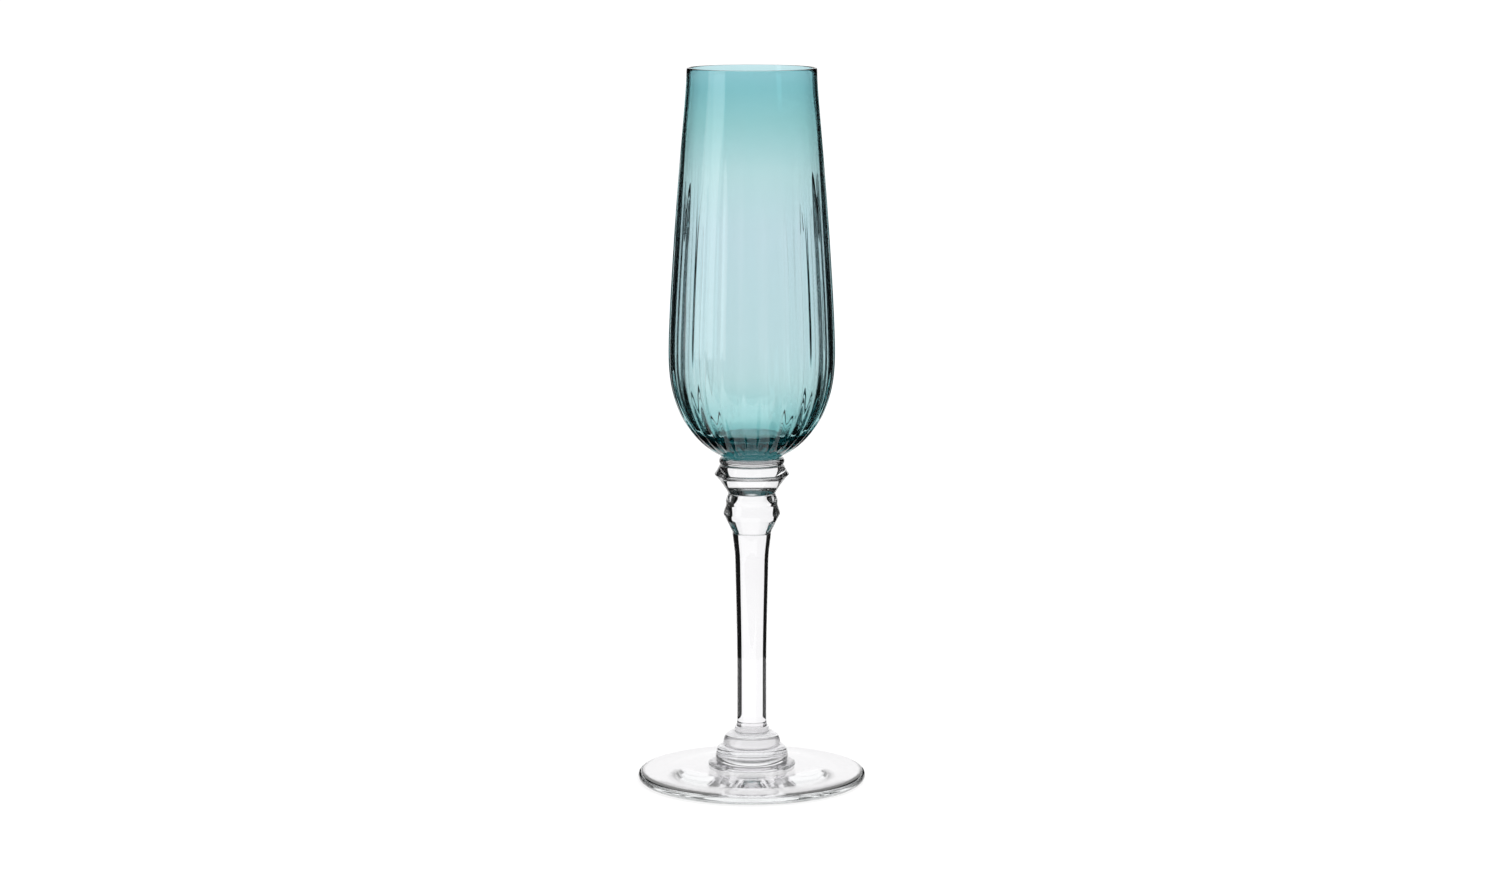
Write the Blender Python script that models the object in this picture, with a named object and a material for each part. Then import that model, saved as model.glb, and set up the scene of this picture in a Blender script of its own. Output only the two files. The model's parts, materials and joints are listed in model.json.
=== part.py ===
"""Champagne flute with a ribbed blown bowl, a knopped stem and a round foot.

Seven glass pieces stand on one vertical axis, each a separate closed solid with a small gap
to the next, where the real pieces are fused. Metres, +Z up. The origin is on the axis, at the
level of the surface that the foot stands on.
"""
import math

import bmesh
import bpy

# ---- driving dimensions, in metres ---------------------------------------------------------

JOINT_GAP = 0.0003            # clearance left at every fused joint

# foot
FOOT_RADIUS = 0.0385
FOOT_EDGE_THICKNESS = 0.0030
FOOT_CENTRE_HEIGHT = 0.0050   # top of the flat pad that the collar stands on
FOOT_REST_WIDTH = 0.0060      # flat ring that touches the table
FOOT_HOLLOW_DEPTH = 0.0012    # hollow under the middle of the foot
FOOT_PAD_MARGIN = 0.0004      # how far the flat pad shows around the collar
CROWN_POWER = 1.5             # above 1 the top of the foot rises slowly, then faster

# base collar: a neck, two beads and a flat ring
COLLAR_HEIGHT = 0.0131
COLLAR_RING_RADIUS = 0.01475
COLLAR_RING_HEIGHT = 0.0013
LARGE_BEAD_RADIUS = 0.0120
LARGE_BEAD_HEIGHT = 0.0055
SMALL_BEAD_RADIUS = 0.0095
SMALL_BEAD_HEIGHT = 0.0038
SMALL_BEAD_TOP_RADIUS = 0.0077
BEAD_STEP = 0.0003            # small ledge between neighbouring beads
BEAD_SAG = 0.0006             # roundness of the beads
COLLAR_NECK_MARGIN = 0.0004   # how far the collar's neck stands out beyond the shaft

# stem shaft
SHAFT_LENGTH = 0.0659
SHAFT_WAIST_RADIUS = 0.00495
SHAFT_TOP_RADIUS = 0.0065
SHAFT_BOTTOM_RADIUS = 0.0054
SHAFT_TAPER = 0.00075         # slow widening towards the top, before the flare
SHAFT_TAPER_LENGTH = 0.0450
SHAFT_TOP_FLARE = 0.0080      # length over which the shaft flares to its top
SHAFT_BOTTOM_FLARE = 0.0060
SHAFT_RINGS = 12

# lower knop
LOWER_KNOP_HEIGHT = 0.0132
LOWER_KNOP_RADIUS = 0.0096
LOWER_KNOP_BELT = 0.0063      # height of its widest line
LOWER_KNOP_RING_RADIUS = 0.0087
LOWER_KNOP_RING_HEIGHT = 0.0035
LOWER_KNOP_NECK_HEIGHT = 0.0016
LOWER_KNOP_NECK_FLARE = 0.0009
RING_SAG = 0.0003             # roundness of the ring above the lower knop

# upper knop
WAIST_RADIUS = 0.0079         # joint between the two knops
UPPER_KNOP_HEIGHT = 0.0094
UPPER_KNOP_RADIUS = 0.01255
UPPER_KNOP_BELT = 0.0061
UPPER_KNOP_TOP_RADIUS = 0.0107
BELT_ROUNDING = 0.0006        # softening of each knop's widest line

# merese
MERESE_HEIGHT = 0.0022
MERESE_RADIUS = 0.0110

# bowl
BOWL_HEIGHT = 0.1294
BOWL_RADIUS = 0.0279          # over the ribs, at the widest line
BOWL_SHOULDER = 0.0354        # height of the widest line above the bowl's underside
BOWL_JOINT_RADIUS = 0.0098
RIM_RADIUS = 0.0217
RIM_WALL = 0.0011
BELLY_WALL = 0.0010           # under the grooves between the ribs
RIM_STRAIGHT = 0.0055         # the last stretch below the rim, which doesn't taper
BOWL_FLOOR = 0.0075           # solid glass under the cavity
TAPER_POWER = 1.3
BELLY_POWER = 2.35

# ribs
RIB_COUNT = 24
RIB_DEPTH = 0.0007
INNER_RIB_DEPTH = 0.00035     # the same ribs show more softly inside the bowl
INNER_RIB_SLOPE = 0.03        # near the axis the inner grooves run out, in depth per radius
RIB_ROUNDNESS = 0.8           # below 1 the crests are round and the grooves narrow
RIB_FADE_START = 0.0300       # above the widest line, ribs begin to fade
RIB_FADE_LENGTH = 0.0420
RIB_ROOT_HEIGHT = 0.0100      # above the joint, ribs reach their full depth

# facets: round the axis, then along the outlines
ROUND_SEGMENTS = 40
SHAFT_SEGMENTS = 32
FOOT_SEGMENTS = 64
SEGMENTS_PER_RIB = 4
HOLLOW_POINTS = 4
CROWN_POINTS = 6
EDGE_STEPS = 6                # round edges of the foot and the merese
RING_STEPS = 4                # round edge of the collar's ring
RING_LAST_ANGLE = 70          # degrees; the ring's edge ends in a crease, not flat on top
BEAD_STEPS = 4
KNOP_RING_STEPS = 3
LIP_STEPS = 4
OUTER_BELLY_POINTS = 9
OUTER_TAPER_POINTS = 6
INNER_BELLY_POINTS = 6
INNER_TAPER_POINTS = 4
SHARP_ANGLE = math.radians(35)
MERGE_DISTANCE = 1e-6
GLASS_IOR = 1.52

# ---- heights of the joints, from the table up -------------------------------------------------

COLLAR_Z = FOOT_CENTRE_HEIGHT + JOINT_GAP
SHAFT_Z = COLLAR_Z + COLLAR_HEIGHT + JOINT_GAP
LOWER_KNOP_Z = SHAFT_Z + SHAFT_LENGTH + JOINT_GAP
UPPER_KNOP_Z = LOWER_KNOP_Z + LOWER_KNOP_HEIGHT + JOINT_GAP
MERESE_Z = UPPER_KNOP_Z + UPPER_KNOP_HEIGHT + JOINT_GAP
BOWL_Z = MERESE_Z + MERESE_HEIGHT + JOINT_GAP


# ---- helpers ---------------------------------------------------------------------------------

def clear_scene():
    for item in list(bpy.data.objects):
        bpy.data.objects.remove(item, do_unlink=True)


def smooth_step(value):
    """0 to 1 with flat ends."""
    held = min(max(value, 0.0), 1.0)
    return held * held * (3.0 - 2.0 * held)


def bulge(start, end, sag, count):
    """Points from start to end, both included, bowed by sag to the right of the direction."""
    run_r = end[0] - start[0]
    run_z = end[1] - start[1]
    length = math.hypot(run_r, run_z)
    points = []
    for index in range(count + 1):
        share = index / count
        bow = 4.0 * sag * share * (1.0 - share)
        radius = start[0] + run_r * share + bow * run_z / length
        height = start[1] + run_z * share - bow * run_r / length
        points.append((radius, height))
    return points


def arc(centre, radius, first, last, count):
    """Points on an arc, from one angle to another in degrees."""
    points = []
    for index in range(count + 1):
        angle = math.radians(first + (last - first) * index / count)
        points.append((centre[0] + radius * math.cos(angle), centre[1] + radius * math.sin(angle)))
    return points


def glass(name, colour, roughness):
    material = bpy.data.materials.new(name)
    material.use_nodes = True
    shader = material.node_tree.nodes["Principled BSDF"]
    shader.inputs["Base Color"].default_value = colour
    shader.inputs["Roughness"].default_value = roughness
    shader.inputs["Metallic"].default_value = 0.0
    shader.inputs["IOR"].default_value = GLASS_IOR
    shader.inputs["Transmission Weight"].default_value = 1.0
    material.diffuse_color = colour
    return material


def turn(name, outline, segments, material, base_z, grooves=None):
    """Turn an outline of (radius, height) points, axis to axis, into one closed solid.

    grooves gives, for each point of the outline, how deep the grooves between ribs cut there.
    """
    model = bmesh.new()
    groove_depth = model.verts.layers.float.new("groove_depth")
    profile = [model.verts.new((radius, 0.0, height)) for radius, height in outline]
    for point, depth in zip(profile, grooves or []):
        point[groove_depth] = depth
    chain = [model.edges.new(pair) for pair in zip(profile, profile[1:])]
    bmesh.ops.spin(model, geom=profile + chain, axis=(0, 0, 1), cent=(0, 0, 0),
                   angle=2 * math.pi, steps=segments, use_merge=True)
    bmesh.ops.remove_doubles(model, verts=model.verts, dist=MERGE_DISTANCE)
    for point in model.verts:
        if point[groove_depth] > 0:
            press_groove(point, point[groove_depth])
    bmesh.ops.recalc_face_normals(model, faces=model.faces)
    mesh = bpy.data.meshes.new(name)
    model.to_mesh(mesh)
    model.free()
    mesh.shade_smooth()
    mesh.set_sharp_from_angle(angle=SHARP_ANGLE)
    mesh.materials.append(material)
    piece = bpy.data.objects.new(name, mesh)
    piece.location = (0, 0, base_z)
    bpy.context.collection.objects.link(piece)
    return piece


def press_groove(point, depth):
    """Move a point of the bowl's skin inwards, the most midway between two ribs."""
    radius = math.hypot(point.co.x, point.co.y)
    angle = math.atan2(point.co.y, point.co.x)
    crest = abs(math.cos(angle * RIB_COUNT / 2)) ** RIB_ROUNDNESS
    shrink = (radius - depth * (1 - crest)) / radius
    point.co.x *= shrink
    point.co.y *= shrink


# ---- the foot ---------------------------------------------------------------------------------

def foot_outline():
    edge = FOOT_EDGE_THICKNESS / 2
    edge_centre = (FOOT_RADIUS - edge, edge)
    rest_inner = edge_centre[0] - FOOT_REST_WIDTH
    pad_radius = COLLAR_RING_RADIUS + FOOT_PAD_MARGIN
    hollow = []
    for index in range(HOLLOW_POINTS):
        share = index / HOLLOW_POINTS
        hollow.append((rest_inner * share, FOOT_HOLLOW_DEPTH * (1 - share ** 2)))
    crown = []
    for index in range(CROWN_POINTS):
        share = index / (CROWN_POINTS - 1)
        radius = edge_centre[0] + (pad_radius - edge_centre[0]) * share
        rise = (FOOT_CENTRE_HEIGHT - FOOT_EDGE_THICKNESS) * share ** CROWN_POWER
        crown.append((radius, FOOT_EDGE_THICKNESS + rise))
    rim = arc(edge_centre, edge, -90, 90, EDGE_STEPS)
    return hollow + [(rest_inner, 0.0)] + rim + crown[1:] + [(0.0, FOOT_CENTRE_HEIGHT)]


def make_foot():
    material = glass("foot_glass", (0.93, 0.94, 0.95, 1.0), 0.02)
    return turn("foot", foot_outline(), FOOT_SEGMENTS, material, 0.0)


# ---- the base collar --------------------------------------------------------------------------

def collar_outline():
    neck_radius = SHAFT_BOTTOM_RADIUS + COLLAR_NECK_MARGIN
    ring_top = COLLAR_RING_HEIGHT
    large_top = ring_top + LARGE_BEAD_HEIGHT
    small_top = large_top + SMALL_BEAD_HEIGHT
    ring_centre = (COLLAR_RING_RADIUS - ring_top / 2, ring_top / 2)
    ring = arc(ring_centre, ring_top / 2, -90, RING_LAST_ANGLE, RING_STEPS)
    large_bead = bulge((LARGE_BEAD_RADIUS, ring_top + BEAD_STEP),
                       (SMALL_BEAD_RADIUS + BEAD_STEP, large_top), BEAD_SAG, BEAD_STEPS)
    small_bead = bulge((SMALL_BEAD_RADIUS, large_top + BEAD_STEP),
                       (SMALL_BEAD_TOP_RADIUS, small_top), BEAD_SAG, BEAD_STEPS)
    neck = [(neck_radius, small_top + BEAD_STEP), (neck_radius, COLLAR_HEIGHT)]
    return [(0.0, 0.0)] + ring + large_bead + small_bead + neck + [(0.0, COLLAR_HEIGHT)]


def make_base_collar():
    material = glass("collar_glass", (0.91, 0.92, 0.93, 1.0), 0.02)
    return turn("base_collar", collar_outline(), ROUND_SEGMENTS, material, COLLAR_Z)


# ---- the shaft --------------------------------------------------------------------------------

def shaft_radius(height):
    below_top = SHAFT_LENGTH - height
    taper = SHAFT_TAPER * smooth_step(1 - below_top / SHAFT_TAPER_LENGTH)
    top_flare = SHAFT_TOP_RADIUS - SHAFT_WAIST_RADIUS - SHAFT_TAPER
    bottom_flare = SHAFT_BOTTOM_RADIUS - SHAFT_WAIST_RADIUS
    flare = top_flare * smooth_step(1 - below_top / SHAFT_TOP_FLARE)
    return SHAFT_WAIST_RADIUS + taper + flare + bottom_flare * smooth_step(1 - height / SHAFT_BOTTOM_FLARE)


def shaft_outline():
    side = []
    for index in range(SHAFT_RINGS + 1):
        # rings stand closer together near both ends, where the outline curves most
        height = SHAFT_LENGTH * (1 - math.cos(math.pi * index / SHAFT_RINGS)) / 2
        side.append((shaft_radius(height), height))
    return [(0.0, 0.0)] + side + [(0.0, SHAFT_LENGTH)]


def make_stem_shaft():
    material = glass("shaft_glass", (0.92, 0.93, 0.94, 1.0), 0.02)
    return turn("stem_shaft", shaft_outline(), SHAFT_SEGMENTS, material, SHAFT_Z)


# ---- the knops --------------------------------------------------------------------------------

def lower_knop_outline():
    ring_z = LOWER_KNOP_HEIGHT - LOWER_KNOP_RING_HEIGHT
    neck = [(SHAFT_TOP_RADIUS, 0.0)]
    cone = [(SHAFT_TOP_RADIUS + LOWER_KNOP_NECK_FLARE, LOWER_KNOP_NECK_HEIGHT),
            (LOWER_KNOP_RADIUS - BELT_ROUNDING / 2, LOWER_KNOP_BELT - BELT_ROUNDING)]
    belt = [(LOWER_KNOP_RADIUS, LOWER_KNOP_BELT)]
    shoulder = [(LOWER_KNOP_RADIUS - BELT_ROUNDING / 2, LOWER_KNOP_BELT + BELT_ROUNDING * 2),
                (LOWER_KNOP_RING_RADIUS, ring_z)]
    ring = bulge((LOWER_KNOP_RING_RADIUS, ring_z), (WAIST_RADIUS, LOWER_KNOP_HEIGHT),
                 RING_SAG, KNOP_RING_STEPS)
    outline = [(0.0, 0.0)] + neck + cone + belt + shoulder + ring[1:]
    return outline + [(0.0, LOWER_KNOP_HEIGHT)]


def make_lower_knop():
    material = glass("lower_knop_glass", (0.90, 0.92, 0.93, 1.0), 0.02)
    return turn("lower_knop", lower_knop_outline(), ROUND_SEGMENTS, material, LOWER_KNOP_Z)


def upper_knop_outline():
    belt = [(UPPER_KNOP_RADIUS - BELT_ROUNDING / 2, UPPER_KNOP_BELT - BELT_ROUNDING),
            (UPPER_KNOP_RADIUS, UPPER_KNOP_BELT),
            (UPPER_KNOP_RADIUS - BELT_ROUNDING / 2, UPPER_KNOP_BELT + BELT_ROUNDING)]
    outline = [(0.0, 0.0), (WAIST_RADIUS, 0.0)] + belt
    return outline + [(UPPER_KNOP_TOP_RADIUS, UPPER_KNOP_HEIGHT), (0.0, UPPER_KNOP_HEIGHT)]


def make_upper_knop():
    material = glass("upper_knop_glass", (0.89, 0.93, 0.94, 1.0), 0.02)
    return turn("upper_knop", upper_knop_outline(), ROUND_SEGMENTS, material, UPPER_KNOP_Z)


def merese_outline():
    half = MERESE_HEIGHT / 2
    side = arc((MERESE_RADIUS - half, half), half, -90, 90, EDGE_STEPS)
    return [(0.0, 0.0)] + side + [(0.0, MERESE_HEIGHT)]


def make_merese():
    material = glass("merese_glass", (0.90, 0.94, 0.95, 1.0), 0.02)
    return turn("merese", merese_outline(), ROUND_SEGMENTS, material, MERESE_Z)


# ---- the bowl ---------------------------------------------------------------------------------

def belly_height(radius, belly_radius, reach):
    """Height on the rounded bottom, a superellipse that reaches down from the widest line."""
    share = (radius / belly_radius) ** 2
    return BOWL_SHOULDER - reach * (1 - share) ** (1 / BELLY_POWER)


def skin_outline(bottom_radius, belly_radius, rim_radius, reach, belly_points, taper_points):
    """One skin of the bowl from its bottom to the rim: a round belly, then a long taper."""
    first_angle = math.asin(bottom_radius / belly_radius)
    points = []
    for index in range(belly_points):
        angle = first_angle + (math.pi / 2 - first_angle) * index / belly_points
        radius = belly_radius * math.sin(angle)
        points.append((radius, belly_height(radius, belly_radius, reach)))
    taper = BOWL_HEIGHT - RIM_STRAIGHT - BOWL_SHOULDER
    for index in range(taper_points + 1):
        share = index / taper_points
        radius = belly_radius - (belly_radius - rim_radius) * share ** TAPER_POWER
        points.append((radius, BOWL_SHOULDER + taper * share))
    return points


def rib_strength(height):
    """1 over the belly, 0 near the rim and at the joint under the bowl."""
    fade = (height - BOWL_SHOULDER - RIB_FADE_START) / RIB_FADE_LENGTH
    return (1 - smooth_step(fade)) * smooth_step(height / RIB_ROOT_HEIGHT)


def make_bowl():
    # the outer belly would come to a point below the joint, so its reach follows the joint
    joint_share = (BOWL_JOINT_RADIUS / BOWL_RADIUS) ** 2
    outer_reach = BOWL_SHOULDER / (1 - joint_share) ** (1 / BELLY_POWER)
    outer = skin_outline(BOWL_JOINT_RADIUS, BOWL_RADIUS, RIM_RADIUS, outer_reach,
                         OUTER_BELLY_POINTS, OUTER_TAPER_POINTS)
    inner_radius = BOWL_RADIUS - BELLY_WALL - (RIB_DEPTH - INNER_RIB_DEPTH)
    inner_reach = BOWL_SHOULDER - BOWL_FLOOR
    inner = skin_outline(0.0, inner_radius, RIM_RADIUS - RIM_WALL, inner_reach,
                         INNER_BELLY_POINTS, INNER_TAPER_POINTS)
    lip = RIM_WALL / 2
    rim = arc((RIM_RADIUS - lip, BOWL_HEIGHT - lip), lip, 0, 180, LIP_STEPS)
    outline = [(0.0, 0.0)] + outer + rim + list(reversed(inner))
    grooves = [0.0] + [RIB_DEPTH * rib_strength(height) for radius, height in outer]
    grooves += [0.0] * len(rim)
    for radius, height in reversed(inner):
        grooves.append(min(INNER_RIB_DEPTH * rib_strength(height), radius * INNER_RIB_SLOPE))
    material = glass("bowl_glass", (0.33, 0.66, 0.70, 1.0), 0.02)
    return turn("bowl", outline, RIB_COUNT * SEGMENTS_PER_RIB, material, BOWL_Z, grooves)


def main():
    clear_scene()
    make_foot()
    make_base_collar()
    make_stem_shaft()
    make_lower_knop()
    make_upper_knop()
    make_merese()
    make_bowl()


main()
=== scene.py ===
# %% [markdown]
# # A champagne flute in glass
#
# The flute is a ribbed teal bowl on a clear, knopped stem and a clear round foot. Glass has hardly
# any colour of its own to paint. What the eye reads is the shape of each surface and whatever the
# surroundings put behind it, so this lesson spends its effort on two things: true, smooth shapes,
# and a studio that gives glass its dark outlines.
#
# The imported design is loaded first. Every new piece takes its place and its size from it, rides on
# the same body and replaces one piece of the design.

# %% Load the frame
import json
import math

import bmesh
import bpy
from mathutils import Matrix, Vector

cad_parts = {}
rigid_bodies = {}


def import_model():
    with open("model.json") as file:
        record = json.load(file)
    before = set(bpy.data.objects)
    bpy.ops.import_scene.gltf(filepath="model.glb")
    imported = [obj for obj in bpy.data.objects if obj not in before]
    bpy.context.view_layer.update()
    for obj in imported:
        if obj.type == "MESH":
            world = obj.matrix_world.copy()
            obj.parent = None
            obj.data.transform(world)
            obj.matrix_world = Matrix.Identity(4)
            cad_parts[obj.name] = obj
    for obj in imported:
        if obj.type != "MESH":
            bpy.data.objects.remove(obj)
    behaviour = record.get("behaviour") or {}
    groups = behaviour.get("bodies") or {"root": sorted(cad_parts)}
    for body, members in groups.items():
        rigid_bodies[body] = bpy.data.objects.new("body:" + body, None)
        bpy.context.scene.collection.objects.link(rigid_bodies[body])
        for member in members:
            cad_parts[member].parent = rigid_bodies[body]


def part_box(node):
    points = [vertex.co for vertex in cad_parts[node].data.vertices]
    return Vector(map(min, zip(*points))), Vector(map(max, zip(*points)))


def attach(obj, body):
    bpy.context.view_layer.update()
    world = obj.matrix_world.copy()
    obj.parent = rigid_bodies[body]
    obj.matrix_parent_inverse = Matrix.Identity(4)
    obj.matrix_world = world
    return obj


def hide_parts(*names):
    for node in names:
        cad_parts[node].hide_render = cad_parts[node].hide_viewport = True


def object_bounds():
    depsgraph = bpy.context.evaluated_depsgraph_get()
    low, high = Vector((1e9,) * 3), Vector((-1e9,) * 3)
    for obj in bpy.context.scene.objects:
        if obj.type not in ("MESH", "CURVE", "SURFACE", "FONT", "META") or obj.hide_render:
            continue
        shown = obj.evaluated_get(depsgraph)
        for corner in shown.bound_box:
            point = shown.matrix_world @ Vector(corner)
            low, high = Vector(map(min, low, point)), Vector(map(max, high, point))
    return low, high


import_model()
cad_low, cad_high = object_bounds()
MM = 0.001
cad_size = cad_high - cad_low
print("flute:", round(cad_size.z / MM), "mm tall,", round(cad_size.x / MM), "mm wide")

# %% [markdown]
# ## The camera
#
# The camera has a long lens and stands a little over a metre away, higher than the rim and tilted
# down. That is close enough for the rim to be seen almost edge on while the foot opens into an
# oval, which a flat, far view wouldn't show.

# %% Place the camera
CAMERA_DISTANCE = 1.216
CAMERA_HEIGHT = 0.3003
CAMERA_SIDE = -0.0006
CAMERA_TILT = math.radians(8.62)
CAMERA_LENS = 88.3

bpy.ops.object.camera_add(location=(CAMERA_SIDE, -CAMERA_DISTANCE, CAMERA_HEIGHT),
                          rotation=(math.pi / 2 - CAMERA_TILT, 0, 0))
camera = bpy.context.object
camera.data.lens = CAMERA_LENS
bpy.context.scene.camera = camera
print("camera:", [round(value, 3) for value in camera.location])

# %% [markdown]
# ## The light
#
# Clear glass shows best on a bright ground, so that light passes straight through the middle
# of every piece. The table is a lit sheet of white acrylic. A wide, soft lamp above it lays a faint
# shadow around the foot. The lamp itself isn't mirrored in the glass.

# %% Light the room and lay the table
scene = bpy.context.scene
scene.view_settings.view_transform = "Standard"
scene.cycles.max_bounces = 32
scene.cycles.transmission_bounces = 32
scene.cycles.glossy_bounces = 12
scene.cycles.use_denoising = True

ROOM_LIGHT = 1.08
TABLE_GLOW = 0.83
TABLE_WHITE = 0.16
TABLE_SIZE = 1.2
TABLE_DROP = 0.05 * MM        # the table lies this far below the foot, so the two never coincide
LAMP_PLACE = (0.22, 0.12, 1.0)
LAMP_SIZE = 0.8
LAMP_POWER = 8

world = bpy.data.worlds.new("white_room")
world.use_nodes = True
world.node_tree.nodes["Background"].inputs["Color"].default_value = (1, 1, 1, 1)
world.node_tree.nodes["Background"].inputs["Strength"].default_value = ROOM_LIGHT
scene.world = world


def studio_material(name, grey, glow):
    """A matt grey for the studio that also gives off a light of its own."""
    material = bpy.data.materials.new(name)
    material.use_nodes = True
    shader = material.node_tree.nodes["Principled BSDF"]
    shader.inputs["Base Color"].default_value = (grey, grey, grey, 1)
    shader.inputs["Specular IOR Level"].default_value = 0.0
    shader.inputs["Emission Color"].default_value = (1, 1, 1, 1)
    shader.inputs["Emission Strength"].default_value = glow
    return material


bpy.ops.mesh.primitive_plane_add(size=TABLE_SIZE, location=(0, 0, -TABLE_DROP))
table = bpy.context.object
table.name = "white_table"
table.data.materials.append(studio_material("lit_acrylic", TABLE_WHITE, TABLE_GLOW))

bpy.ops.object.light_add(type="AREA", location=LAMP_PLACE)
lamp = bpy.context.object
lamp.name = "soft_lamp"
lamp_x, lamp_y, lamp_z = LAMP_PLACE
lamp.rotation_euler = (math.atan2(-lamp_y, lamp_z), math.atan2(lamp_x, lamp_z), 0)
lamp.data.size = LAMP_SIZE
lamp.data.energy = LAMP_POWER
lamp.visible_glossy = False
lamp.visible_transmission = False
print("table", TABLE_SIZE, "m wide, lamp", lamp_z, "m up")

# %% [markdown]
# ## The dark cards
#
# Near an outline the glass bends the view far to the side, so an outline shows what stands at the
# side. Dark cards close to the flute, just clear of its foot, draw the thin black edges there.
# Solid glass bends the view by a third of a right angle before it meets them. The thin bowl bends
# it much less, but it reaches closer to the cards, so it gets its outlines too. Higher up, where the
# ribs fade, a second pair of cards reaches further back. A dark floor in front keeps mirror images
# off the glass, and one soft box at the front left leaves a pale upright band.
#
# All of them hang on a turntable that follows the camera, as if it were the glass that was turned.
# The glass sees them, the camera and the table don't.

# %% Hang the cards
BLACK = 0.006
DIM = 0.05
CARD_GREY = 0.0               # cards give off light of their own but throw none back
SIDE_CARD_AWAY = 0.050        # from the axis to the side cards
SIDE_CARD_FRONT = {-1: 0.021, 1: 0.075}
# Each pair of cards as lowest height, top height, and for the left and the right card how many
# degrees off the view glass must look before it may see the card.
SIDE_CARDS = [(0.0, 0.175, {-1: 36.0, 1: 31.5}), (0.175, 0.30, {-1: 24.0, 1: 21.0})]
FRONT_FLOOR = (-0.20, -1.40)
FRONT_FLOOR_RISE = 0.5 * MM
FRONT_WIDTH = 3.0
FRONT_WALL_HEIGHT = 2.4
CEILING_SIZE = (4.0, 3.0)
CEILING_HEIGHT = 1.6
CEILING_GLOW = 0.65
SOFT_BOX_ANGLE = math.radians(58.5)
SOFT_BOX_AWAY = 0.8
SOFT_BOX_SIZE = (0.30, 0.70)
SOFT_BOX_HEIGHT = 0.40
SOFT_BOX_GLOW = 1.5

bpy.ops.object.empty_add(location=(0, 0, 0))
turntable = bpy.context.object
turntable.name = "studio_turntable"
follow = turntable.constraints.new("LOCKED_TRACK")
follow.target = camera
follow.track_axis = "TRACK_NEGATIVE_Y"
follow.lock_axis = "LOCK_Z"


def hang_card(name, centre, size, turn, glow):
    """A flat card of the given size, seen only by the glass."""
    bpy.ops.mesh.primitive_plane_add(size=1, location=(0, 0, 0))
    card = bpy.context.object
    card.name = name
    card.scale = (size[0], size[1], 1)
    bpy.ops.object.transform_apply(location=False, rotation=False, scale=True)
    card.rotation_euler = turn
    card.location = centre
    card.data.materials.append(studio_material(name, CARD_GREY, glow))
    card.visible_camera = False
    card.visible_diffuse = False
    card.visible_shadow = False
    card.parent = turntable


UPRIGHT = (math.pi / 2, 0, 0)
EDGE_ON = (0, math.pi / 2, 0)
FLAT = (0, 0, 0)
for card_low, card_high, angles in SIDE_CARDS:
    for side, angle in angles.items():
        back = SIDE_CARD_AWAY / math.tan(math.radians(angle))
        front = SIDE_CARD_FRONT[side]
        hang_card("side_card", (side * SIDE_CARD_AWAY, (back - front) / 2, (card_low + card_high) / 2),
                  (card_high - card_low, back + front), EDGE_ON, BLACK)
front_near, front_far = FRONT_FLOOR
hang_card("front_floor", (0, (front_near + front_far) / 2, FRONT_FLOOR_RISE),
          (FRONT_WIDTH, front_near - front_far), FLAT, DIM)
hang_card("front_wall", (0, front_far, FRONT_WALL_HEIGHT / 2),
          (FRONT_WIDTH, FRONT_WALL_HEIGHT), UPRIGHT, DIM)
hang_card("ceiling", (0, 0, CEILING_HEIGHT), CEILING_SIZE, FLAT, CEILING_GLOW)
soft_box_place = (-SOFT_BOX_AWAY * math.sin(SOFT_BOX_ANGLE), -SOFT_BOX_AWAY * math.cos(SOFT_BOX_ANGLE),
                  SOFT_BOX_HEIGHT)
hang_card("soft_box", soft_box_place, SOFT_BOX_SIZE, (math.pi / 2, 0, -SOFT_BOX_ANGLE), SOFT_BOX_GLOW)
print("cards:", len(turntable.children))

# %% [markdown]
# ## Working by hand
#
# Every piece is turned: it starts as a small flat disc that is extruded upwards ring by ring and
# widened or narrowed at each ring, like clay on a wheel. Subdivision then rounds it. Where an edge
# must stay crisp, two rings stand close together.

# %% Tools for turned pieces
ROUNDING_LEVELS = 2


def deselect_everything():
    if bpy.context.mode != "OBJECT":
        bpy.ops.object.mode_set(mode="OBJECT")
    bpy.ops.object.select_all(action="DESELECT")


def start_turned(name, sides, radius, height):
    """Add a flat disc to grow a turned piece from, and open it in edit mode."""
    deselect_everything()
    bpy.ops.mesh.primitive_circle_add(vertices=sides, radius=radius, fill_type="NGON",
                                      location=(0, 0, height))
    piece = bpy.context.object
    piece.name = name
    piece.data.name = name
    bpy.ops.object.transform_apply(location=True, rotation=True, scale=True)
    bpy.ops.object.mode_set(mode="EDIT")
    bpy.ops.mesh.select_all(action="SELECT")
    return piece


def grow(steps):
    """Extrude the selected disc through rings given as (radius, height), the first being itself."""
    for (radius, height), (next_radius, next_height) in zip(steps, steps[1:]):
        bpy.ops.mesh.extrude_region_move(TRANSFORM_OT_translate={"value": (0, 0, next_height - height)})
        factor = next_radius / radius
        bpy.ops.transform.resize(value=(factor, factor, 1), center_override=(0, 0, next_height))


def select_points(piece, wanted):
    """Select just the points for which wanted(place) is true."""
    model = bmesh.from_edit_mesh(piece.data)
    for point in model.verts:
        point.select = wanted(point.co)
    model.select_flush_mode()
    bmesh.update_edit_mesh(piece.data)


def finish_turned(piece):
    """Turn the normals outwards, round the piece and shade it smooth."""
    bpy.ops.mesh.select_all(action="SELECT")
    bpy.ops.mesh.normals_make_consistent(inside=False)
    bpy.ops.object.mode_set(mode="OBJECT")
    rounding = piece.modifiers.new("rounding", "SUBSURF")
    rounding.levels = ROUNDING_LEVELS
    bpy.ops.object.modifier_apply(modifier="rounding")
    bpy.ops.object.shade_smooth()
    piece.select_set(False)


print("tools ready, with", ROUNDING_LEVELS, "levels of rounding")

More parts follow.
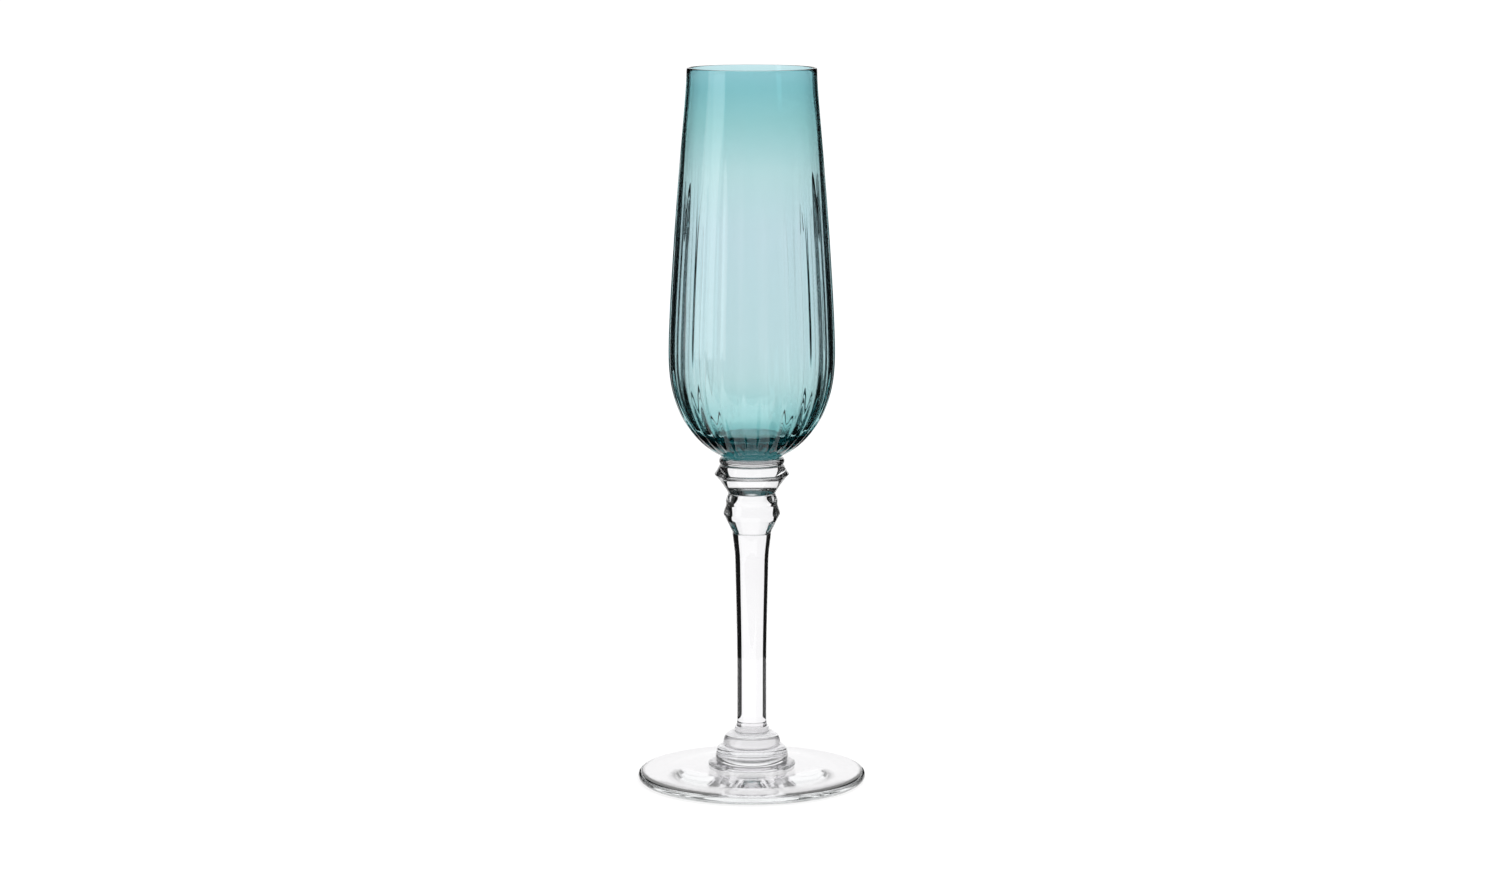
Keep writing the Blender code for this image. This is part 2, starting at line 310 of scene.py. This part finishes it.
# %% [markdown]
# ## Glass
#
# A small helper keeps the shader sums readable: a value in a material can be added, multiplied and
# compared like a number, and each operation makes one node.

# %% Tools for materials


class Value:
    """A value inside a material that can be used in sums like a number."""

    def __init__(self, tree, output):
        self.tree = tree
        self.output = output

    def combine(self, operation, first, second):
        node = self.tree.nodes.new("ShaderNodeMath")
        node.operation = operation
        for socket, value in zip(node.inputs, (first, second)):
            plug(self.tree, socket, value)
        return Value(self.tree, node.outputs[0])

    def __add__(self, other):
        return self.combine("ADD", self, other)

    def __radd__(self, other):
        return self.combine("ADD", other, self)

    def __sub__(self, other):
        return self.combine("SUBTRACT", self, other)

    def __rsub__(self, other):
        return self.combine("SUBTRACT", other, self)

    def __mul__(self, other):
        return self.combine("MULTIPLY", self, other)

    def __rmul__(self, other):
        return self.combine("MULTIPLY", other, self)

    def __truediv__(self, other):
        return self.combine("DIVIDE", self, other)

    def __rtruediv__(self, other):
        return self.combine("DIVIDE", other, self)


def plug(tree, socket, value):
    """Put a number on a socket, or link a value to it."""
    if isinstance(value, Value):
        tree.links.new(value.output, socket)
    else:
        socket.default_value = value


class Glass:
    """A glass material being mixed: its shader, and one method that adds any other node."""

    def __init__(self, name, volume_colour, volume_density):
        self.material = bpy.data.materials.new(name)
        self.material.use_nodes = True
        self.tree = self.material.node_tree
        self.shader = self.tree.nodes["Principled BSDF"]
        self.shader.inputs["IOR"].default_value = GLASS_IOR
        self.shader.inputs["Roughness"].default_value = 0.0
        self.shader.inputs["Transmission Weight"].default_value = 1.0
        volume = self.tree.nodes.new("ShaderNodeVolumeAbsorption")
        volume.inputs["Color"].default_value = (*volume_colour, 1)
        volume.inputs["Density"].default_value = volume_density
        self.tree.links.new(volume.outputs["Volume"], self.tree.nodes["Material Output"].inputs["Volume"])

    def node(self, kind, settings, inputs, output=0):
        """Add a node, set it up, plug values into it and return one of its outputs."""
        node = self.tree.nodes.new(kind)
        for name, value in settings.items():
            setattr(node, name, value)
        for name, value in inputs.items():
            plug(self.tree, node.inputs[name], value)
        return Value(self.tree, node.outputs[output])

    def ramp(self, share, stops):
        """Colours between stops, given as (share, colour)."""
        node = self.tree.nodes.new("ShaderNodeValToRGB")
        elements = node.color_ramp.elements
        elements.remove(elements[1])
        for index, (place, colour) in enumerate(stops):
            element = elements[0] if index == 0 else elements.new(place)
            element.position = place
            element.color = (*colour, 1)
        plug(self.tree, node.inputs["Fac"], share)
        return Value(self.tree, node.outputs["Color"])

    def mix(self, share, first, second, blend="MIX"):
        """Mix two colours."""
        node = self.tree.nodes.new("ShaderNodeMix")
        node.data_type = "RGBA"
        node.blend_type = blend
        plug(self.tree, node.inputs[0], share)
        for socket, colour in ((node.inputs[6], first), (node.inputs[7], second)):
            plug(self.tree, socket, colour if isinstance(colour, Value) else (*colour, 1))
        return Value(self.tree, node.outputs[2])

    def waves(self, stretch, scale, detail):
        """Soft noise on the piece itself, longer along an axis where stretch is below 1."""
        place = self.node("ShaderNodeTexCoord", {}, {}, "Object")
        drawn = self.node("ShaderNodeMapping", {}, {"Vector": place, "Scale": stretch})
        return self.node("ShaderNodeTexNoise", {}, {"Vector": drawn, "Scale": scale, "Detail": detail})

    def height_share(self, low, high):
        """0 at one height and 1 at another."""
        place = self.node("ShaderNodeTexCoord", {}, {}, "Object")
        height = self.node("ShaderNodeSeparateXYZ", {}, {"Vector": place}, "Z")
        return (height - low) / (high - low)

    def finish(self, relief, depth, colour, roughness):
        """Lay a relief of the given depth, in metres, and connect colour and roughness."""
        normal = self.node("ShaderNodeBump", {}, {"Height": relief, "Distance": depth})
        plug(self.tree, self.shader.inputs["Normal"], normal)
        plug(self.tree, self.shader.inputs["Base Color"], colour)
        plug(self.tree, self.shader.inputs["Roughness"], roughness)
        return self.material


GLASS_IOR = 1.52
print("glass bends light by", GLASS_IOR)

# %% [markdown]
# ### Clear glass
#
# The stem and the foot are the same clear glass. It is never perfectly even: the hot glass was
# turned while it was worked, and that left very faint rings, which show as thin grey lines across
# the knops. A breath of grey-green in the depth shows only along the foot's edge. The creases of
# the collar, the joints and the sharp belt of the upper knop are finer than any mesh. The dark lines
# that they show are painted shade: hair-thin grey lines in the colour at their heights, with a slight
# bend in them, as hand-worked glass has.

# %% Mix the clear glass
clear = Glass("clear_glass", (0.90, 0.95, 0.93), 8.0)
CLEAR_RELIEF = 0.012 * MM
RING_SCALE = 900.0
SLOW_SCALE = 140.0
HAZE_SCALE = 60.0
GREY_TINT = (0.90, 0.89, 0.91)
CLEAN_TINT = (0.99, 0.98, 0.99)
WHITE = (1.0, 1.0, 1.0)
RING_SHARE = 0.3              # how strong the turning rings are beside the slow waves
HAZE_ROUGHNESS = 0.008
turning_rings = clear.waves((0.05, 0.05, 1.0), RING_SCALE, 1.0)
slow_waves = clear.waves((1.0, 1.0, 1.0), SLOW_SCALE, 2.0)
haze = clear.waves((1.0, 1.0, 1.0), HAZE_SCALE, 3.0)
body_tint = clear.mix(haze, GREY_TINT, CLEAN_TINT)

# Each painted shade line as node, height in millimetres above the node's underside, and how much light
# passes.
STEM_SHADE_LINES = [("base_collar", 1.2, 0.02), ("base_collar", 6.85, 0.02), ("base_collar", 11.45, 0.2),
              ("lower_knop", -0.15, 0.3), ("upper_knop", -0.15, 0.2), ("upper_knop", 6.2, 0.1),
              ("merese", -0.15, 0.05)]
LINE_HALF_WIDTH = 0.28 * MM
LINE_BEND = 0.15 * MM
LINE_COLDNESS = 1.05          # the lines pass a little more green and blue than red
stem_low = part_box("base_collar")[0].z
stem_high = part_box("merese")[1].z
stem_length = stem_high - stem_low
half_share = LINE_HALF_WIDTH / stem_length
# Painted shade: the glass colour darkens in thin lines at the heights of the creases and joints.
line_stops = [(0.0, WHITE)]
for node, height, passed in STEM_SHADE_LINES:
    middle = (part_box(node)[0].z + height * MM - stem_low) / stem_length
    line_stops.append((middle - half_share, WHITE))
    line_stops.append((middle, (passed, passed * LINE_COLDNESS, passed * LINE_COLDNESS)))
    line_stops.append((middle + half_share, WHITE))
bend = (haze - 0.5) * (LINE_BEND / stem_length)
painted_crease_shade = clear.ramp(clear.height_share(stem_low, stem_high) + bend, line_stops)
tint_and_crease_shade = clear.mix(1.0, body_tint, painted_crease_shade, "MULTIPLY")
clear_relief = turning_rings * RING_SHARE + slow_waves
clear_glass = clear.finish(clear_relief, CLEAR_RELIEF, tint_and_crease_shade, haze * HAZE_ROUGHNESS)
print("clear glass mixed, with", len(STEM_SHADE_LINES), "fine lines")

# %% [markdown]
# ### Teal glass
#
# The bowl is deep teal at the rim, pale in the middle and deep again in the solid base. Two
# things make it. A little absorption in the depth of the glass darkens the solid base and the
# edges, where the view passes through the most glass. A tint on the skin changes with height, as
# if the gather of coloured glass were thickest at the rim. Long upright waves, left by the ribbed
# mould, make the reflections wander.

# %% Mix the teal glass
bowl_low, bowl_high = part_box("bowl")
BOWL_TINTS = [
    (0.00, (0.64, 0.86, 0.84)),
    (0.09, (0.72, 0.90, 0.905)),
    (0.17, (0.85, 0.945, 0.95)),
    (0.27, (0.87, 0.945, 0.965)),
    (0.58, (0.885, 0.95, 0.98)),
    (0.73, (0.83, 0.94, 0.95)),
    (0.86, (0.66, 0.86, 0.87)),
    (0.95, (0.58, 0.82, 0.85)),
    (1.00, (0.66, 0.86, 0.90)),
]
TEAL_RELIEF = 0.02 * MM
MOULD_WAVE_SCALE = 110.0
CORD_SCALE = 170.0
CORD_TINT = (0.90, 0.97, 0.97)
CORD_SHARE = 0.6
CORD_ROUGHNESS = 0.006
teal = Glass("teal_glass", (0.0, 0.47, 0.50), 120.0)
gradient = teal.ramp(teal.height_share(bowl_low.z, bowl_high.z), BOWL_TINTS)
cords = teal.waves((1.0, 1.0, 0.06), CORD_SCALE, 2.0)
teal_tint = teal.mix(cords * CORD_SHARE, gradient, CORD_TINT, "MULTIPLY")
mould_waves = teal.waves((1.0, 1.0, 0.10), MOULD_WAVE_SCALE, 1.5)
teal_glass = teal.finish(mould_waves, TEAL_RELIEF, teal_tint, cords * CORD_ROUGHNESS)
print("teal glass mixed, with", len(BOWL_TINTS), "tints from base to rim")

# %% [markdown]
# ## The bowl
#
# The real bowl is blown into a ribbed mould and then drawn out, so the ribs are deep on the belly
# and run out towards the rim. Here it is one turned piece: up the outside, over the lip and down
# the inside to a nearly flat floor on solid glass.

# %% Draw the outline of the bowl
JOINT_GAP = 0.3 * MM          # the clearance between pieces in the design
OVERLAP = 0.02 * MM           # fused pieces share this much, so that light passes straight on
AXIS_RADIUS = 0.6 * MM        # every turned piece starts and ends as a disc of this size

BOWL_RADIUS = bowl_high.x
RIM_RADIUS = 21.7 * MM
JOINT_RADIUS = 9.8 * MM
WIDEST_Z = bowl_low.z + 35.4 * MM
RIM_STRAIGHT = 5.5 * MM
TAPER_POWER = 1.3
BELLY_POWER = 2.35
FLOOR_Z = bowl_low.z + 7.5 * MM
WALL_RIM = 1.1 * MM
WALL_BELLY = 0.8 * MM
WALL_BASE = 2.4 * MM
FLOOR_EDGE_RISE = 1.2 * MM    # the floor meets the side this far up
# The floor from its middle outwards, as share of its radius and rise in millimetres.
FLOOR_SHAPE = [(0.35, 0.0), (0.65, 0.1), (0.86, 0.5)]
BOTTOM_BEVEL = (0.4 * MM, 0.3 * MM)

RIB_COUNT = 24
RIB_DEPTH = 0.7 * MM
INNER_RIB_DEPTH = 0.35 * MM
RIB_FADE_START = 30 * MM
RIB_FADE_LENGTH = 42 * MM
RIB_ROOT = 5 * MM


def smooth_step(value):
    held = min(max(value, 0.0), 1.0)
    return held * held * (3.0 - 2.0 * held)


def rib_strength(height):
    """1 over the belly, 0 near the rim and at the joint under the bowl."""
    fade = (height - WIDEST_Z - RIB_FADE_START) / RIB_FADE_LENGTH
    return (1 - smooth_step(fade)) * smooth_step((height - bowl_low.z) / RIB_ROOT)


def wall_thickness(height):
    """Thin over the belly, thicker towards the lip and the base."""
    if height > WIDEST_Z:
        share = min((height - WIDEST_Z) / (bowl_high.z - RIM_STRAIGHT - WIDEST_Z), 1)
        return WALL_BELLY + (WALL_RIM - WALL_BELLY) * share ** 2
    share = (WIDEST_Z - height) / (WIDEST_Z - bowl_low.z)
    return WALL_BELLY + (WALL_BASE - WALL_BELLY) * share ** 2


def outer_outline(belly_rings, taper_rings):
    """The outer skin from the joint to the rim: a round belly, then a long taper."""
    share = (JOINT_RADIUS / BOWL_RADIUS) ** 2
    reach = (WIDEST_Z - bowl_low.z) / (1 - share) ** (1 / BELLY_POWER)
    first = math.asin(JOINT_RADIUS / BOWL_RADIUS)
    points = []
    for index in range(belly_rings):
        angle = first + (math.pi / 2 - first) * index / belly_rings
        radius = BOWL_RADIUS * math.sin(angle)
        drop = reach * (1 - (radius / BOWL_RADIUS) ** 2) ** (1 / BELLY_POWER)
        points.append((radius, WIDEST_Z - drop))
    taper = bowl_high.z - RIM_STRAIGHT - WIDEST_Z
    for index in range(taper_rings + 1):
        share = index / taper_rings
        radius = BOWL_RADIUS - (BOWL_RADIUS - RIM_RADIUS) * share ** TAPER_POWER
        points.append((radius, WIDEST_Z + taper * share))
    return points


def inner_outline(outer):
    """The inner skin, one wall thickness inside the outer one, and a nearly flat floor."""
    skin = []
    for before, point, after in zip([outer[0]] + outer, outer, outer[1:] + [outer[-1]]):
        run_r = after[0] - before[0]
        run_z = after[1] - before[1]
        wall = wall_thickness(point[1]) + (RIB_DEPTH - INNER_RIB_DEPTH) * rib_strength(point[1])
        length = math.hypot(run_r, run_z)
        skin.append((point[0] - wall * run_z / length, point[1] + wall * run_r / length))
    side = [(radius, height) for radius, height in skin if height > FLOOR_Z + FLOOR_EDGE_RISE]
    edge = side[0][0]
    floor = [(edge * share, FLOOR_Z + rise * MM) for share, rise in FLOOR_SHAPE]
    return [(AXIS_RADIUS, FLOOR_Z)] + floor + side


BELLY_RINGS = 9
TAPER_RINGS = 7
outer = outer_outline(BELLY_RINGS, TAPER_RINGS)
inner = inner_outline(outer)
lip = WALL_RIM / 2
LIP_STEPS = 6
rim = []
for step in range(1, LIP_STEPS):
    angle = math.pi * step / LIP_STEPS
    rim.append((RIM_RADIUS - lip + lip * math.cos(angle), bowl_high.z - lip + lip * math.sin(angle)))
bottom_z = bowl_low.z - JOINT_GAP - OVERLAP
bottom = [(AXIS_RADIUS, bottom_z), (JOINT_RADIUS / 2, bottom_z),
          (JOINT_RADIUS - BOTTOM_BEVEL[0], bottom_z), (JOINT_RADIUS, bottom_z + BOTTOM_BEVEL[1])]
print("bowl outline:", len(bottom + outer + rim + inner), "rings")

# %% [markdown]
# The outline has six sides for every rib. Pressing the groove line towards the axis and, less, the
# lines beside it makes broad, round ribs with narrow grooves. Each ring is pressed as deep as the
# ribs are at its height, so the ribs fade on their own.

# %% Turn the bowl and press its ribs
SIDES_PER_RIB = 6
GROOVE_LANE = 3
SHOULDER_LANES = (2, 4)
SHOULDER_SHARE = 0.25
NEAR = 0.01 * MM

bowl = start_turned("ribbed_bowl", RIB_COUNT * SIDES_PER_RIB, AXIS_RADIUS, bottom_z)
grow(bottom + outer[1:] + rim + list(reversed(inner)))


def side_number(place):
    """Which of the bowl's upright lines a point is on."""
    return round(math.atan2(place.y, place.x) / (2 * math.pi) * RIB_COUNT * SIDES_PER_RIB)


def press_ribs(outline, depth):
    pressed = 0
    for radius, height in outline:
        for lanes, share in (((GROOVE_LANE,), 1.0), (SHOULDER_LANES, SHOULDER_SHARE)):
            press = rib_strength(height) * depth * share
            if press < NEAR:
                continue
            select_points(bowl, lambda place: abs(place.z - height) < NEAR
                          and abs(math.hypot(place.x, place.y) - radius) < NEAR
                          and side_number(place) % SIDES_PER_RIB in lanes)
            factor = (radius - press) / radius
            bpy.ops.transform.resize(value=(factor, factor, 1), center_override=(0, 0, height))
            pressed += 1
    return pressed


presses_outside = press_ribs(outer[1:], RIB_DEPTH)
presses_inside = press_ribs(inner[1:], INNER_RIB_DEPTH)
print("presses:", presses_outside, "outside,", presses_inside, "inside")

# %% [markdown]
# No two ribs of a blown bowl are alike. Each groove is pressed a little more or less, in three
# zones of its own: over the belly, along the middle and where it runs out.

# %% Make the ribs uneven
UNEVEN = 0.16 * MM
FAST_WAVE = 2.4
FAST_SHIFT = 1.1
SLOW_WAVE = 0.9
ZONE_STEP = 7                 # so that the zones of one rib aren't alike
BELLY_START = 8 * MM          # above the bowl's underside
MIDDLE_END = 25 * MM          # above the widest ring, like the next
FADE_END = 62 * MM
ZONES = [(bowl_low.z + BELLY_START, WIDEST_Z), (WIDEST_Z, WIDEST_Z + MIDDLE_END),
         (WIDEST_Z + MIDDLE_END, WIDEST_Z + FADE_END)]
outer_heights = [height for radius, height in outer]


def wander(number):
    """A repeatable unevenness between -1 and 1, out of two waves that don't keep step."""
    return math.sin(number * FAST_WAVE + FAST_SHIFT) * math.cos(number * SLOW_WAVE)


for rib in range(RIB_COUNT):
    line = rib * SIDES_PER_RIB + GROOVE_LANE
    for zone, (zone_low, zone_high) in enumerate(ZONES):
        rings = [height for height in outer_heights if zone_low <= height < zone_high]
        select_points(bowl, lambda place: side_number(place) % (RIB_COUNT * SIDES_PER_RIB) == line
                      and any(abs(place.z - height) < NEAR for height in rings))
        factor = 1 - UNEVEN * wander(rib + zone * ZONE_STEP) / BOWL_RADIUS
        bpy.ops.transform.resize(value=(factor, factor, 1), center_override=(0, 0, zone_low))

finish_turned(bowl)
bowl.data.materials.append(teal_glass)
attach(bowl, "root")
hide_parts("bowl")
print("bowl:", len(bowl.data.polygons), "faces")

# %% [markdown]
# ## The stem and the foot
#
# The clear pieces are all turned from an outline of their own, closed by flat discs at both ends.
# Where two pieces are fused, the upper one reaches a hair into the lower one.

# %% Tools for the clear pieces
CLEAR_SIDES = 64
CRISP = 0.15 * MM             # two rings this close keep the edge of an end face sharp


def dress_clear(piece, node):
    """Round a clear piece, give it its glass and put it in the place of a piece of the design."""
    finish_turned(piece)
    piece.data.materials.append(clear_glass)
    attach(piece, "root")
    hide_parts(node)
    print(piece.name, len(piece.data.polygons), "faces")


def turned_clear(name, node, side):
    """A clear piece from a side outline in millimetres, as (radius, height above the joint)."""
    low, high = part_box(node)
    low_z = low.z - JOINT_GAP - OVERLAP
    high_z = high.z
    rings = [(radius * MM, low_z + height * MM) for radius, height in side]
    start_radius = rings[0][0]
    end_radius = rings[-1][0]
    start = [(AXIS_RADIUS, low_z), (start_radius / 2, low_z), (start_radius - CRISP, low_z)]
    end = [(end_radius - CRISP, high_z), (end_radius / 2, high_z), (AXIS_RADIUS, high_z)]
    piece = start_turned(name, CLEAR_SIDES, AXIS_RADIUS, low_z)
    grow(start + rings + end)
    dress_clear(piece, node)


print("clear pieces have", CLEAR_SIDES, "sides before rounding")

# %% [markdown]
# ### Merese
#
# The merese is the thin disc of clear glass that takes the bowl. On the real glass it is a drop
# pressed flat, so its edge is round.

# %% Turn the merese
turned_clear("clear_merese", "merese", [
    (10.2, 0.05), (10.7, 0.35), (10.95, 0.8), (11.0, 1.25), (10.95, 1.7), (10.7, 2.15), (10.2, 2.45)])

# %% [markdown]
# ### The two knops
#
# Each knop is a double cone pinched out with the jacks: a crisp belt, a long cone below and a short
# one above. The lower knop carries a soft ring above its belt.

# %% Turn the knops
turned_clear("clear_upper_knop", "upper_knop", [
    (7.9, 0.1), (8.1, 0.4), (9.6, 2.9), (12.0, 5.9), (12.4, 6.3), (12.55, 6.5), (12.4, 6.75),
    (12.0, 7.1), (10.9, 9.3), (10.7, 9.6)])
turned_clear("clear_lower_knop", "lower_knop", [
    (6.5, 0.1), (6.6, 0.5), (7.3, 1.9), (8.3, 4.0), (9.3, 6.0), (9.6, 6.6), (9.4, 7.4), (8.9, 8.8),
    (8.6, 9.9), (8.75, 10.6), (8.65, 11.6), (8.1, 12.9), (7.9, 13.4)])

# %% [markdown]
# ### The shaft
#
# The shaft is drawn out of the hot glass in one pull, so it narrows slowly from the knop down and
# flares only in its last few millimetres.

# %% Turn the shaft
SHAFT_RINGS = 18
SHAFT_WAIST = 4.95
SHAFT_TAPER = (0.75, 45)      # widening in millimetres, and the length that it takes
SHAFT_TOP_FLARE = (0.80, 8)
SHAFT_BOTTOM_FLARE = (0.25, 1.6)
SHAFT_END = 0.1               # the side starts and ends this far from the end faces

shaft_low, shaft_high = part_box("stem_shaft")
shaft_length = (shaft_high.z - shaft_low.z + JOINT_GAP + OVERLAP) / MM
shaft_side = []
for ring in range(SHAFT_RINGS + 1):
    height = shaft_length * (1 - math.cos(math.pi * ring / SHAFT_RINGS)) / 2
    height = min(max(height, SHAFT_END), shaft_length - SHAFT_END)
    radius = SHAFT_WAIST
    for widening, length in (SHAFT_TAPER, SHAFT_TOP_FLARE):
        radius += widening * smooth_step(1 - (shaft_length - height) / length)
    radius += SHAFT_BOTTOM_FLARE[0] * smooth_step(1 - height / SHAFT_BOTTOM_FLARE[1])
    shaft_side.append((radius, height))
turned_clear("clear_shaft", "stem_shaft", shaft_side)

# %% [markdown]
# ### The collar
#
# Where stem and foot meet, the glass was gathered in stages, which left a flat ring, two beads and
# a short neck. The creases between them are sharp. The thin dark line at each is painted shade in
# the clear glass's colour.

# %% Turn the collar
turned_clear("clear_collar", "base_collar", [
    (14.5, 0.05), (14.75, 0.4), (14.7, 0.8), (14.3, 1.15), (13.3, 1.35), (12.2, 1.42), (11.95, 1.55),
    (12.1, 1.8), (12.3, 3.0), (12.2, 4.4), (11.8, 5.6), (11.1, 6.6), (10.2, 7.05), (9.75, 7.12),
    (9.6, 7.25), (9.7, 7.55), (9.75, 8.3), (9.4, 9.4), (8.8, 10.4), (7.9, 11.2), (6.8, 11.6), (6.0, 11.7),
    (5.8, 11.85), (5.8, 12.3), (5.8, 13.3)])

# %% [markdown]
# ### The foot
#
# The foot is a thick disc, hollow underneath, so that it stands on a ring near its edge. Its top
# rises gently to the collar. The edge is round and catches the darkest line of the whole foot.

# %% Turn the foot
foot_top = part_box("foot")[1].z
FOOT_SIDES = 96
FOOT_HOLLOW = 1.2             # how far the middle of the underside is off the table, in millimetres
FOOT_UNDER = [(10.0, 1.12), (20.0, 0.8), (28.0, 0.3), (31.0, 0.03), (34.0, 0.0), (36.6, 0.0)]
FOOT_EDGE = [(37.6, 0.25), (38.3, 0.9), (38.5, 1.7), (38.2, 2.5), (37.5, 2.9)]
FOOT_TOP = [(35.5, 3.05), (31.0, 3.2), (28.0, 3.5), (25.0, 4.0), (22.0, 4.5), (19.0, 4.8), (15.5, 4.98)]
COLLAR_BED = [10.0, 4.0]      # flat rings under the collar

foot = start_turned("clear_foot", FOOT_SIDES, AXIS_RADIUS, FOOT_HOLLOW * MM)
foot_side = [(radius * MM, height * MM) for radius, height in FOOT_UNDER + FOOT_EDGE + FOOT_TOP]
foot_middle = [(radius * MM, foot_top) for radius in COLLAR_BED] + [(AXIS_RADIUS, foot_top)]
grow([(AXIS_RADIUS, FOOT_HOLLOW * MM)] + foot_side + foot_middle)
dress_clear(foot, "foot")

# %% [markdown]
# ## The size of the design
#
# The top corner of the design's box is printed, in millimetres.

# %% Print the design's top corner
print("design:", [round(value / MM, 2) for value in cad_high])
